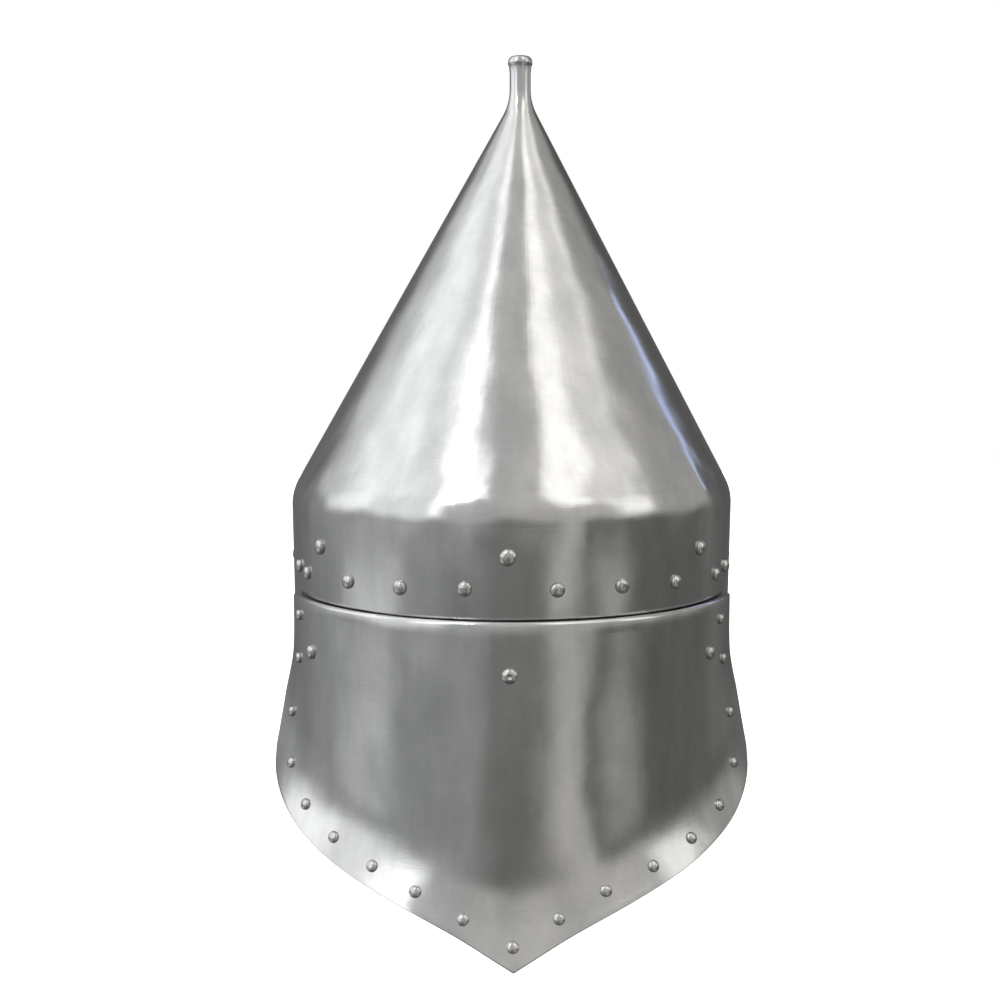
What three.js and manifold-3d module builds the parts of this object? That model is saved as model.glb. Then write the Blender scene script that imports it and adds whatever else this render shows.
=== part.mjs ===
// A conical steel helmet with a pointed plate hung at the back of its rim on leather straps.
// Millimetres, +Z up. The origin is the centre of the crown's open rim and the wearer faces +Y.
// An azimuth is an angle round the crown in degrees: 0 is the middle of the back (-Y), 90 is +X.

import * as THREE from "three";
import { mergeVertices } from "three/addons/utils/BufferGeometryUtils.js";
import Module from "manifold-3d";

// Crown: half widths of the outer face, measured sideways, and the heights of its corners.
const SHEET = 2.0;
const RIM_RADIUS = 104.8;
const SHOULDER_RADIUS = 105.5;
const SHOULDER_HEIGHT = 49.6;
const SHOULDER_FILLET = 24;
const NECK_RADIUS = 5.0;
const NECK_CORNER_HEIGHT = 233;
const NECK_FILLET = 25.4;
const BUTTON = { radius: 5.7, crownRadius: 4.3, crownDrop: 0.2, edgeDrop: 1.7, skirtDrop: 5 };
const BUTTON_BOTTOM = 246.3;
const FINIAL_TOP = 254.7;
const HOLLOW_TOP = 220.5;

// The head's oval: the crown is this much deeper than wide at its shoulder, and round at the neck.
const SHOULDER_DEPTH = 118.5;
// The finial leans to one side of the band's centre.
const FINIAL_LEAN = 4.2;
const LEAN_START = 40.5;
const LEAN_END = 186.5;

// Nape plate: its outer face, its outline and the flare of its lower margin.
const PLATE_RADIUS = 107.5;
const PLATE_TOP = 4.5;
const PLATE_SIDE_TOP = 68.7;
const PLATE_SIDE = 72;
const PLATE_SIDE_STEP = { from: -8.5, to: -43.5 };
const PLATE_FLARE = 10;
const FLARE_HEIGHT = 65;
const FLARE_SOFTNESS = 0.25;
// The line the flare grows towards follows the lower edge, but passes the tip in a round bend.
const FLARE_LINE = { azimuth: 62, height: -86.7, rise: 0.8, bend: 10 };
const PLATE_LOWER_EDGE = [
  { azimuth: 0, height: -134.5 },
  { azimuth: 12, height: -121.7 },
  { azimuth: 26, height: -110.9 },
  { azimuth: 42, height: -101.2 },
  { azimuth: 55, height: -92.2 },
  { azimuth: 62, height: -86.6 },
  { azimuth: 67, height: -81.9 },
  { azimuth: 70.4, height: -76 },
  { azimuth: PLATE_SIDE, height: -67.5 },
];

// Rivets: radius of the head, its height, the shank, and the peened tail inside. The dome's
// shoulder is the point of its outline between foot and top, as shares of radius and rise.
const GAP = 0.3;
const CROWN_STRAP_HEAD = { radius: 3.75, rise: 2.6 };
const PLATE_STRAP_HEAD = { radius: 3.3, rise: 2.4 };
const LINING_HEAD = { radius: 3.1, rise: 2.2 };
const MARGIN_HEAD = { radius: 2.75, rise: 2.0 };
const SHANK_RADIUS = 1.4;
const TAIL = { radius: 2.4, rise: 1.1 };
const DOME_SHOULDER = { radius: 0.76, rise: 0.62 };
const HOLE_RADIUS = SHANK_RADIUS + GAP;
const DRILL_LENGTH = 40;

// Straps: three leather strips inside the back, each with a rivet above and a rivet below the rim.
const STRAP_WIDTH = 16;
const STRAP_THICKNESS = 2.5;
const STRAP_END = 8;
const STRAP_LAY = 0.5;
// Below the rim a strap steps out from the crown's inner face to the plate's.
const STRAP_STEP = { from: -1, to: -10 };
const STRAP_STEP_ROWS = 3;
const STRAPS = [
  { name: "left", crown: { azimuth: -52.7, height: 29.3 }, plate: { azimuth: -55.2, height: -17.7 } },
  { name: "centre", crown: { azimuth: -1.2, height: 30.8 }, plate: { azimuth: -0.8, height: -17 } },
  { name: "right", crown: { azimuth: 50.5, height: 29.3 }, plate: { azimuth: 53.7, height: -17.4 } },
];

// Lining rivets: the seen ones by azimuth, then the row goes on evenly round the front.
const LINING_HEIGHT = 16.8;
const LINING_SEEN = [-66.2, -60.2, -41.6, -26.4, -10.7, 9.8, 25.3, 41.1, 59.5, 67.3];
const LINING_FRONT_COUNT = 12;

// Margin rivets, from the plate's left upper corner round the tip to its right one.
const MARGIN_RIVETS = [
  { azimuth: -62.4, height: -3.3 },
  { azimuth: -63, height: -23.1 },
  { azimuth: -63.6, height: -47.5 },
  { azimuth: -59.8, height: -68.5 },
  { azimuth: -51.2, height: -82.3 },
  { azimuth: -41, height: -91.2 },
  { azimuth: -30.3, height: -98.6 },
  { azimuth: -20.2, height: -105.9 },
  { azimuth: -10.1, height: -114.9 },
  { azimuth: -0.1, height: -124.9 },
  { azimuth: 9.1, height: -114.5 },
  { azimuth: 19.1, height: -105.2 },
  { azimuth: 30.2, height: -98.6 },
  { azimuth: 40.8, height: -91.5 },
  { azimuth: 51.3, height: -82.6 },
  { azimuth: 60.3, height: -68.7 },
  { azimuth: 62.7, height: -47.6 },
  { azimuth: 61.9, height: -23.1 },
  { azimuth: 59.6, height: -4.3 },
];

const CROWN_SEGMENTS = 60;
const FILLET_STEPS = 4;
const PLATE_ROWS = 8;
const EDGE_STEPS = 2;
const RIVET_SEGMENTS = 8;

const STEEL = new THREE.MeshStandardMaterial({ color: 0xb4b6b8, metalness: 1, roughness: 0.32 });
const RIVET_STEEL = new THREE.MeshStandardMaterial({ color: 0xc2c3c4, metalness: 1, roughness: 0.28 });
const LEATHER = new THREE.MeshStandardMaterial({ color: 0x4a3425, metalness: 0, roughness: 0.75 });

const wasm = await Module();
wasm.setup();

const { clamp, degToRad, lerp, smoothstep } = THREE.MathUtils;

function sidewaysLean(height) {
  return FINIAL_LEAN * clamp((height - LEAN_START) / (LEAN_END - LEAN_START), 0, 1);
}

// A point of the oval round the axis, from its sideways radius, moved in by an inset.
function placeOnOval(radius, azimuth, height, inset = 0) {
  const stretch = (SHOULDER_DEPTH - SHOULDER_RADIUS) / (SHOULDER_RADIUS - NECK_RADIUS);
  const depth = radius + stretch * Math.max(0, radius - NECK_RADIUS);
  const angle = degToRad(azimuth);
  return new THREE.Vector3(
    sidewaysLean(height) + (radius - inset) * Math.sin(angle),
    -(depth - inset) * Math.cos(angle),
    height,
  );
}

// Points of a round corner of the given radius, between two straight stretches of a profile.
function filletPoints(before, corner, after, radius) {
  const back = before.clone().sub(corner).normalize();
  const ahead = after.clone().sub(corner).normalize();
  const half = Math.acos(back.dot(ahead)) / 2;
  const centre = back.clone().add(ahead).normalize().multiplyScalar(radius / Math.sin(half)).add(corner);
  const start = back.multiplyScalar(radius / Math.tan(half)).add(corner).sub(centre);
  const end = ahead.multiplyScalar(radius / Math.tan(half)).add(corner).sub(centre);
  const turn = Math.atan2(start.cross(end), start.dot(end));
  return Array.from({ length: FILLET_STEPS + 1 }, (unused, step) =>
    start.clone().rotateAround(new THREE.Vector2(), (turn * step) / FILLET_STEPS).add(centre));
}

function positionsOnly(geometry) {
  geometry.deleteAttribute("normal");
  geometry.deleteAttribute("uv");
  return mergeVertices(geometry, 1e-4);
}

function toSolid(geometry) {
  const merged = positionsOnly(geometry);
  return new wasm.Manifold(new wasm.Mesh({
    numProp: 3,
    vertProperties: new Float32Array(merged.attributes.position.array),
    triVerts: new Uint32Array(merged.index.array),
  }));
}

function toGeometry(solid) {
  const mesh = solid.getMesh();
  const geometry = new THREE.BufferGeometry();
  geometry.setAttribute("position", new THREE.BufferAttribute(mesh.vertProperties, 3));
  geometry.setIndex(new THREE.BufferAttribute(mesh.triVerts, 1));
  geometry.computeVertexNormals();
  return geometry;
}

// The outward direction of a surface given as a function of azimuth and height.
function outwardNormal(surface, azimuth, height) {
  const step = 0.5;
  const along = surface(azimuth + step, height).sub(surface(azimuth - step, height));
  const up = surface(azimuth, height + step).sub(surface(azimuth, height - step));
  return along.cross(up).normalize();
}

// Crown

function crownBandRadius(height) {
  return lerp(RIM_RADIUS, SHOULDER_RADIUS, height / SHOULDER_HEIGHT);
}

function crownSurface(azimuth, height) {
  return placeOnOval(crownBandRadius(height), azimuth, height);
}

// Radius and height from the finial's top down the outside, round the rim and up the inside.
function crownProfile() {
  const rim = new THREE.Vector2(RIM_RADIUS, 0);
  const shoulder = new THREE.Vector2(SHOULDER_RADIUS, SHOULDER_HEIGHT);
  const neck = new THREE.Vector2(NECK_RADIUS, NECK_CORNER_HEIGHT);
  const button = new THREE.Vector2(NECK_RADIUS, BUTTON_BOTTOM);
  const slope = (SHOULDER_RADIUS - NECK_RADIUS) / (NECK_CORNER_HEIGHT - SHOULDER_HEIGHT);
  const sheetAcross = SHEET * Math.hypot(1, slope);
  const innerShoulder = new THREE.Vector2(
    SHOULDER_RADIUS - SHEET,
    SHOULDER_HEIGHT - (sheetAcross - SHEET) / slope,
  );
  const innerTop = new THREE.Vector2(
    SHOULDER_RADIUS - sheetAcross - slope * (HOLLOW_TOP - SHOULDER_HEIGHT),
    HOLLOW_TOP,
  );
  const innerRim = new THREE.Vector2(RIM_RADIUS - SHEET, 0);
  return [
    new THREE.Vector2(0, FINIAL_TOP),
    new THREE.Vector2(BUTTON.crownRadius, FINIAL_TOP - BUTTON.crownDrop),
    new THREE.Vector2(BUTTON.radius, FINIAL_TOP - BUTTON.edgeDrop),
    new THREE.Vector2(BUTTON.radius, FINIAL_TOP - BUTTON.skirtDrop),
    button,
    ...filletPoints(button, neck, shoulder, NECK_FILLET),
    ...filletPoints(neck, shoulder, rim, SHOULDER_FILLET),
    rim,
    innerRim,
    ...filletPoints(innerRim, innerShoulder, innerTop, SHOULDER_FILLET - SHEET),
    innerTop,
    new THREE.Vector2(0, HOLLOW_TOP),
  ];
}

// The lathe turns about Y, so each vertex is read as radius, azimuth and height and set on the oval.
function latheOnOval(profile) {
  const lathe = positionsOnly(new THREE.LatheGeometry(profile.toReversed(), CROWN_SEGMENTS));
  const position = lathe.attributes.position;
  for (let i = 0; i < position.count; i += 1) {
    const radius = Math.hypot(position.getX(i), position.getZ(i));
    const azimuth = THREE.MathUtils.radToDeg(Math.atan2(position.getX(i), -position.getZ(i)));
    const placed = placeOnOval(radius, -azimuth, position.getY(i));
    position.setXYZ(i, placed.x, placed.y, placed.z);
  }
  return lathe;
}

// Nape plate

const lowerEdge = new THREE.SplineCurve(
  PLATE_LOWER_EDGE.map(({ azimuth, height }) => new THREE.Vector2(azimuth, height)),
).getPoints((PLATE_LOWER_EDGE.length - 1) * EDGE_STEPS);

// How far the plate stands out from its upright part, growing towards the lower edge.
function plateFlare(azimuth, height) {
  const { azimuth: side, height: sideHeight, rise, bend } = FLARE_LINE;
  const foot = sideHeight - rise * (Math.hypot(side, bend) - Math.hypot(azimuth, bend));
  const share = Math.max(0, (FLARE_HEIGHT - (height - foot)) / FLARE_HEIGHT);
  return (PLATE_FLARE * (1 + FLARE_SOFTNESS) * share * share) / (share + FLARE_SOFTNESS);
}

function plateSurface(azimuth, height, inset = 0) {
  return placeOnOval(PLATE_RADIUS + plateFlare(azimuth, height), azimuth, height, inset);
}

// The plate is narrower beside the rim than below it.
function plateSideAzimuth(height) {
  const widened = 1 - smoothstep(height, PLATE_SIDE_STEP.to, PLATE_SIDE_STEP.from);
  return lerp(PLATE_SIDE_TOP, PLATE_SIDE, widened);
}

// A sheet between two grids of points, outer and inner, closed along its four edges.
function sheetFromGrids(outer, inner) {
  const rows = outer.length;
  const columns = outer[0].length;
  const points = [...outer.flat(), ...inner.flat()];
  const outside = (row, column) => row * columns + column;
  const inside = (row, column) => rows * columns + row * columns + column;
  const index = [];
  const quad = (a, b, c, d) => index.push(a, b, c, a, c, d);
  for (let r = 0; r < rows - 1; r += 1) {
    for (let c = 0; c < columns - 1; c += 1) {
      quad(outside(r, c), outside(r, c + 1), outside(r + 1, c + 1), outside(r + 1, c));
      quad(inside(r, c), inside(r + 1, c), inside(r + 1, c + 1), inside(r, c + 1));
    }
    quad(outside(r, 0), outside(r + 1, 0), inside(r + 1, 0), inside(r, 0));
    const last = columns - 1;
    quad(outside(r, last), inside(r, last), inside(r + 1, last), outside(r + 1, last));
  }
  for (let c = 0; c < columns - 1; c += 1) {
    const last = rows - 1;
    quad(outside(0, c), inside(0, c), inside(0, c + 1), outside(0, c + 1));
    quad(outside(last, c), outside(last, c + 1), inside(last, c + 1), inside(last, c));
  }
  const geometry = new THREE.BufferGeometry().setFromPoints(points);
  geometry.setIndex(index);
  return geometry;
}

// Rows run from the lower edge up to the top edge, columns from the left side to the right one.
function plateGrid(inset) {
  const half = lowerEdge.slice(1);
  const columns = [
    ...half.toReversed().map((point) => new THREE.Vector2(-point.x, point.y)),
    lowerEdge[0],
    ...half,
  ];
  return Array.from({ length: PLATE_ROWS + 1 }, (unused, row) =>
    columns.map(({ x, y }) => {
      const height = lerp(y, PLATE_TOP, row / PLATE_ROWS);
      const azimuth = (x * plateSideAzimuth(height)) / PLATE_SIDE;
      return plateSurface(azimuth, height, inset);
    }));
}

// Straps

// Radius of the strap's outer face: it lies on the crown's inner face, then on the plate's.
function strapRadius(azimuth, height) {
  const onCrown = crownBandRadius(height) - SHEET - STRAP_LAY;
  const onPlate = PLATE_RADIUS + plateFlare(azimuth, height) - SHEET - STRAP_LAY;
  return lerp(onPlate, onCrown, smoothstep(height, STRAP_STEP.to, STRAP_STEP.from));
}

function strapSurface(azimuth, height, inset = 0) {
  return placeOnOval(strapRadius(azimuth, height), azimuth, height, inset);
}

function strapGrid({ crown, plate }, inset) {
  const halfTurn = THREE.MathUtils.radToDeg(STRAP_WIDTH / 2 / PLATE_RADIUS);
  const step = Array.from({ length: STRAP_STEP_ROWS + 1 }, (unused, row) =>
    lerp(STRAP_STEP.to, STRAP_STEP.from, row / STRAP_STEP_ROWS));
  const heights = [plate.height - STRAP_END, ...step, crown.height + STRAP_END];
  return heights.map((height) => {
    const climb = (height - plate.height) / (crown.height - plate.height);
    const middle = lerp(plate.azimuth, crown.azimuth, climb);
    return [-1, 0, 1].map((side) => strapSurface(middle + side * halfTurn, height, inset));
  });
}

// Rivets

// A rivet along +Y, its head's foot at the origin's height and its peened tail below the stack.
function rivetGeometry({ radius, rise }, stack) {
  const profile = [
    new THREE.Vector2(0, -stack - TAIL.rise),
    new THREE.Vector2(TAIL.radius, -stack),
    new THREE.Vector2(SHANK_RADIUS, -stack),
    new THREE.Vector2(SHANK_RADIUS, 0),
    new THREE.Vector2(radius, 0),
    new THREE.Vector2(radius * DOME_SHOULDER.radius, rise * DOME_SHOULDER.rise),
    new THREE.Vector2(0, rise),
  ];
  return positionsOnly(new THREE.LatheGeometry(profile, RIVET_SEGMENTS));
}

// Where a rivet stands: on the surface's outer face, its axis along the outward normal.
function rivetSeat(surface, { azimuth, height }) {
  return { point: surface(azimuth, height), normal: outwardNormal(surface, azimuth, height) };
}

function rivetHole(seat) {
  const hole = new THREE.CylinderGeometry(HOLE_RADIUS, HOLE_RADIUS, DRILL_LENGTH, RIVET_SEGMENTS);
  hole.applyQuaternion(new THREE.Quaternion().setFromUnitVectors(THREE.Object3D.DEFAULT_UP, seat.normal));
  hole.translate(seat.point.x, seat.point.y, seat.point.z);
  return toSolid(hole);
}

function drill(solid, seats) {
  return seats.reduce((rest, seat) => rest.subtract(rivetHole(seat)), solid);
}

function namedMesh(name, geometry, material) {
  const mesh = new THREE.Mesh(geometry, material);
  mesh.name = name;
  return mesh;
}

function rivetMesh(name, head, stack, seat) {
  const mesh = namedMesh(name, rivetGeometry(head, stack), RIVET_STEEL);
  mesh.position.copy(seat.point).addScaledVector(seat.normal, GAP);
  mesh.quaternion.setFromUnitVectors(THREE.Object3D.DEFAULT_UP, seat.normal);
  return mesh;
}

function liningAzimuths() {
  const first = LINING_SEEN[0] + 360;
  const last = LINING_SEEN[LINING_SEEN.length - 1];
  const spacing = (first - last) / (LINING_FRONT_COUNT + 1);
  const front = Array.from({ length: LINING_FRONT_COUNT }, (unused, i) => last + spacing * (i + 1));
  return [...LINING_SEEN, ...front];
}

const liningSeats = liningAzimuths().map((azimuth) =>
  rivetSeat(crownSurface, { azimuth, height: LINING_HEIGHT }));
const crownStrapSeats = STRAPS.map(({ crown }) => rivetSeat(crownSurface, crown));
const plateStrapSeats = STRAPS.map(({ plate }) => rivetSeat(plateSurface, plate));
const marginSeats = MARGIN_RIVETS.map((rivet) => rivetSeat(plateSurface, rivet));

const sheetStack = SHEET + 3 * GAP;
const strapStack = SHEET + STRAP_THICKNESS + 5 * GAP;

function buildCrown() {
  const shell = toSolid(latheOnOval(crownProfile()));
  return namedMesh("crown", toGeometry(drill(shell, [...liningSeats, ...crownStrapSeats])), STEEL);
}

function buildNapePlate() {
  const sheet = toSolid(sheetFromGrids(plateGrid(0), plateGrid(SHEET)));
  return namedMesh("nape_plate", toGeometry(drill(sheet, [...plateStrapSeats, ...marginSeats])), STEEL);
}

function buildStrap(strap, index) {
  const leather = toSolid(sheetFromGrids(strapGrid(strap, 0), strapGrid(strap, STRAP_THICKNESS)));
  const holes = [crownStrapSeats[index], plateStrapSeats[index]];
  return namedMesh(`hanging_strap_${strap.name}`, toGeometry(drill(leather, holes)), LEATHER);
}

function buildRivetRow(name, head, stack, seats, digits) {
  return seats.map((seat, index) =>
    rivetMesh(`${name}_${String(index + 1).padStart(digits, "0")}`, head, stack, seat));
}

const helmet = new THREE.Group();
helmet.add(
  buildCrown(),
  buildNapePlate(),
  ...STRAPS.map(buildStrap),
  ...buildRivetRow("crown_strap_rivet", CROWN_STRAP_HEAD, strapStack, crownStrapSeats, 1),
  ...buildRivetRow("plate_strap_rivet", PLATE_STRAP_HEAD, strapStack, plateStrapSeats, 1),
  ...buildRivetRow("lining_rivet", LINING_HEAD, sheetStack, liningSeats, 2),
  ...buildRivetRow("margin_rivet", MARGIN_HEAD, sheetStack, marginSeats, 2),
);

export default helmet;
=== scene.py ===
"""A conical steel helmet with a nape plate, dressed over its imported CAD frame.

Metres, +Z up. The origin is the centre of the crown's open rim and the wearer faces +Y.
An azimuth is an angle round the crown in degrees: 0 is the middle of the back (-Y), 90 is +X.
"""

import math
import random

import bmesh
import bpy
from bpy.props import FloatProperty, FloatVectorProperty, IntProperty, PointerProperty
from mathutils import Matrix, Vector


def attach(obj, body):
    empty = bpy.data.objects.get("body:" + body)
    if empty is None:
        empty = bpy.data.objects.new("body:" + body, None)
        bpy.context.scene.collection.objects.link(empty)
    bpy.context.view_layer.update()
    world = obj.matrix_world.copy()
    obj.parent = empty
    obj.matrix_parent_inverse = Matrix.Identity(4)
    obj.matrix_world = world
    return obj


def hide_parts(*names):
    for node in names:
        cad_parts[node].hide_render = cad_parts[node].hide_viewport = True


bl_info = {
    "name": "Conical Helmet",
    "version": (1, 0, 0),
    "blender": (4, 5, 0),
    "location": "View3D > Sidebar > Helmet",
    "description": "Builds a riveted conical helmet with a nape plate, its finishes and its studio",
    "category": "Object",
}

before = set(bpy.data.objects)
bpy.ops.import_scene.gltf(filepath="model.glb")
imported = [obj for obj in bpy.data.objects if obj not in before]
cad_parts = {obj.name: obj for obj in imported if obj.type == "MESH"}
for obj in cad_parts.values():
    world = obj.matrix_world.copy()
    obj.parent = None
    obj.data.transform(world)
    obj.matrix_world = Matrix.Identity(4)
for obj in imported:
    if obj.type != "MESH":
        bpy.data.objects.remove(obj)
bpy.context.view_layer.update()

MM = 0.001
BODY = "root"

# The cone leans to one side of the band's centre, more and more between these two heights.
FINIAL_LEAN = 4.2 * MM
LEAN_START = 40.5 * MM
LEAN_END = 186.5 * MM

# Faces round the crown's two bends, and the rounding of the open rim's edges.
SHOULDER_STEPS = 12
NECK_STEPS = 14
RIM_ROUNDING = 0.55 * MM
RIM_CORNER = 0.16 * MM
# The finial above its plain neck: radius and distance below the top, in millimetres.
NECK_DROP = 8.4 * MM
FINIAL_PROFILE = [
    (5.15, 6.6),
    (5.25, 5.3),
    (5.4, 4.4),
    (5.75, 3.9),
    (5.85, 3.5),
    (5.75, 2.6),
    (5.55, 1.7),
    (5.2, 0.95),
    (4.6, 0.45),
    (3.4, 0.15),
    (1.3, 0),
]

# Azimuth of the plate's side edges beside the rim and below it, and the heights between which the
# plate widens from one to the other.
PLATE_SIDE_TOP = 68.7
PLATE_SIDE = 72.0
PLATE_SIDE_STEP = (-43.5 * MM, -8.5 * MM)
# How much the plate's columns crowd towards its side edges. With 0 they are evenly spaced.
COLUMN_CROWDING = 0.35
# The chamfer along the plate's top edge, the thinner sheet under it, and the rounding of its edges.
CHAMFER_TALL = 0.85 * MM
CHAMFER_DEEP = 0.95 * MM
TAPER_TALL = 1.75 * MM
TAPER_DEEP = 0.25 * MM
PLATE_ROUNDING = 0.3 * MM

# The plate's lower edge from the tip to one side: azimuth in degrees, height in millimetres, worked
# out from points measured in the photograph. A smooth line joins them in this many steps each.
PLATE_EDGE_STEPS = 16
PLATE_LOWER_EDGE = [
    (0, -134.5),
    (12, -122.5),
    (26, -112),
    (42, -101.7),
    (55, -92.5),
    (62, -86.6),
    (67, -81.5),
    (70.4, -76),
    (72, -67.5),
]

# The line that the flare grows towards, round where the lower edge has its point.
FLARE_LINE_SIDE = 62
FLARE_LINE_HEIGHT = -86.7 * MM
FLARE_LINE_RISE = 0.8 * MM
FLARE_LINE_BEND = 10
FLARE_TALL = 61 * MM
FLARE_SOFTNESS = 0.25
# Across the back some of the flare comes gently and the rest in the margin's last part. Beside
# the neck it comes sooner, and more and more towards the plate's side edge.
GENTLE_SHARE = 0.25
MARGIN_TALL = 34 * MM
MARGIN_POWER = 2.3
SIDE_FROM = 52
SIDE_POWER = 2.5
# No point of the plate stands out by more than this many times the flare.
FLARE_LIMIT = 1.5

# The rivets that show in the photograph stand where they do there: the tables' azimuths in degrees
# and heights in millimetres were worked out from points measured in it, so they are a little uneven.

# Straps: place of the rivet on the crown and of the one on the plate.
STRAPS = [
    ("left", (-53.1, 29), (-55.7, -18.1)),
    ("centre", (-1.2, 30.5), (-0.8, -17.3)),
    ("right", (50.9, 29), (54.2, -17.9)),
]
# The heights between which a strap passes from the plate's inner face to the crown's, and how far
# it lies off them.
STRAP_STEP = (-10 * MM, -1 * MM)
STRAP_LAY = 0.8 * MM
# Faces across and along a strap, and the rounding of its corners and edges.
STRAP_COLUMNS = 4
STRAP_ROWS = 20
STRAP_CORNER = 3.5 * MM
STRAP_ROUNDING = 0.5 * MM

# Lining rivets: places of those seen from behind. The hidden ones go on round the front, evenly.
LINING_SEEN = [
    (-66.9, 17.4),
    (-60.7, 15.7),
    (-41.8, 16.2),
    (-26.4, 16.4),
    (-10.8, 17.4),
    (9.8, 17),
    (25.3, 17.2),
    (41.3, 16.2),
    (60, 15.3),
    (68.1, 17),
]
LINING_HEIGHT = 16.8
LINING_FRONT_COUNT = 12
LINING_FRONT_FROM = 90.0

# Margin rivets: places from the plate's left upper corner round the tip to the right one.
MARGIN_RIVETS = [
    (-63.1, -3.8),
    (-63.8, -23.7),
    (-66.9, -49.7),
    (-63.4, -71.4),
    (-53.6, -84.7),
    (-42.6, -93.3),
    (-31.5, -100.7),
    (-21, -107.9),
    (-10.4, -116.8),
    (-0.1, -126.2),
    (9.5, -116.5),
    (19.9, -107.4),
    (31.4, -100.7),
    (42.5, -93.6),
    (53.7, -85.1),
    (64, -71.6),
    (66.2, -49.8),
    (62.7, -23.7),
    (60.2, -4.8),
]

# The gap that the solids keep between one piece and the next.
SOLID_GAP = 0.3 * MM

# Shape of a rivet: the dome, whose powers would both be 1 for an ellipse, the head's underside as a
# share of its radius, the shank and the peened tail.
RIVET_SEGMENTS = 32
DOME_ANGLES = range(0, 90, 10)
DOME_WIDTH_POWER = 0.92
DOME_RISE_POWER = 1.06
UNDERSIDE_SHARE = 0.93
SHANK_RADIUS = 1.4 * MM
TAIL_RADIUS = 2.4 * MM
TAIL_RISE = 1.1 * MM
TAIL_EDGE = 0.1 * MM
TAIL_ANGLES = (80, 55, 30, 8)
# The punch mark on a rivet: the dome is kept down to DOME_KEPT times the mark's radius. From there
# each row has a radius over the mark's, a share of the head's height and one of the mark's depth.
DIMPLE_RADIUS = 1.1 * MM
DIMPLE_DEPTH = 0.9 * MM
DOME_KEPT = 1.5
DIMPLE_PROFILE = [
    (1.2, 0.97, 0),
    (0.9, 0.93, 0),
    (0.7, 1, 0.6),
    (0.3, 1, 1),
]
# How far a rivet may lean to a side, and the least and greatest size of handwork.
RIVET_LEAN = 0.045
RIVET_WIDTHS = (0.96, 1.04)
RIVET_HEIGHTS = (0.93, 1.05)

SHEET_FINISH = "mild_steel_planished_and_brushed"
RIVET_FINISH = "soft_steel_peened"
STRAP_FINISH = "cowhide_vegetable_tanned"

# Marks on the sheet, each as wide and as deep as one of them. Planishing leaves soft waves and
# shallow dents. Polishing leaves cloudy patches, and smudges that run up and down.
WAVE_WIDTH = 40 * MM
WAVE_DEPTH = 1.8 * MM
DENT_WIDTH = 14.29 * MM
DENT_DEPTH = 0.11 * MM
CLOUD_WIDTH = 11.76 * MM
SMUDGE_WIDTH = 18.18 * MM
SMUDGE_LENGTH = 62.5 * MM
# The turn at the shoulder is hammered in over a stake, which leaves larger blows. Each pair holds
# the height with none of them and the height from which they are at their full depth.
BLOW_WIDTH = 27.78 * MM
BLOW_DEPTH = 2.2 * MM
BLOWS_BELOW = (26 * MM, 44 * MM)
BLOWS_ABOVE = (92 * MM, 56 * MM)
# Brush lines of 240 grit paper run round the helmet in short strokes, some 0.06 mm apart. They are
# drawn 0.8 mm apart, because finer ones don't show in the render.
BRUSH_SPACING = 0.8 * MM
BRUSH_LENGTH = 9.09 * MM
BRUSH_DEPTH = 0.1 * MM
BRUSH_TONE = 0.16
TONE_RANGE = (0.28, 0.88)
SHEET_ROUGHNESS = (0.13, 0.21)

# The hammer leaves small facets on a rivet.
FACET_WIDTH = 1.667 * MM
FACET_DEPTH = 0.3 * MM
RIVET_ROUGHNESS = (0.17, 0.28)

# Grain cells of cowhide, and the patches where it is handled.
GRAIN_WIDTH = 0.714 * MM
GRAIN_DEPTH = 0.2 * MM
PATCH_WIDTH = 11.11 * MM

# A noise texture's values lie mostly between these.
NOISE_LOW = 0.3
NOISE_HIGH = 0.7

FLOOR_WIDTH = 14
FLOOR_GLOW = 0.8
SENSOR_WIDTH = 36

# Light round the helmet, which the steel mirrors: its level straight below and straight above, its
# colours at the left and the right, and the X of a direction where the left one begins to give way
# to the right one and where it has.
WALL_LEVEL = 0.1
SKY_LEVEL = 0.9
COOL_LIGHT = (0.99, 1.0, 1.012, 1)
WARM_LIGHT = (1.02, 1.0, 0.965, 1)
TINT_LEFT = -0.5
TINT_RIGHT = 0.1

# Soft boxes and dark cards over it: azimuth, half width, blur of the side edges, lowest and highest
# elevation in degrees, and level. A later one hides an earlier one. Their first values were read off
# light levels that were fitted to the photograph, and were then changed after comparing brightness
# with it. BOX_EDGE is the blur of the lower and upper edges.
BOX_EDGE = 9
SOFT_BOXES = [
    (180, 60, 30, -80, 80, 0.12),
    (-180, 50, 30, -80, 80, 0.16),
    (-122, 14, 10, 16, 45, 0.9),
    (80, 44, 12, -40, 2, 0.16),
    (-78, 34, 14, -40, 0, 0.42),
    (-84, 18, 8, -40, -14, 0.85),
    (-92, 22, 10, 6, 76, 1.6),
    (-64, 12, 8, 0, 76, 1.25),
    (-45, 9, 6, 8, 76, 2.1),
    (0, 32, 10, 4, 22, 0.62),
    (0, 26, 9, 28, 76, 0.7),
    (41, 17, 9, 38, 76, 1.9),
    (45, 20, 8, 6, 26, 0.7),
    (66, 11, 7, 38, 76, 1.1),
    (73, 10, 6, 10, 40, 1.7),
    (86, 7, 5, 46, 76, 1.5),
    (58, 11, 8, -40, -12, 0.48),
    (30, 9, 6, -40, 12, 0.64),
    (0, 16, 8, -40, 0, 0.24),
    (112, 18, 10, 4, 76, 0.5),
]

# Lamps: name, place, target, width, height, colour and power.
LAMPS = [
    ("soft_box_left", (-0.7, -1.0, 1.3), (0, 0, 0.1), 0.25, 0.25, "FFFFFF", 1.5),
    ("window_strip_right", (0.77, 0.584, 0.447), (0.07, -0.04, 0.1), 0.08, 0.34, "B4C9FF", 0.11),
]


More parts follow.
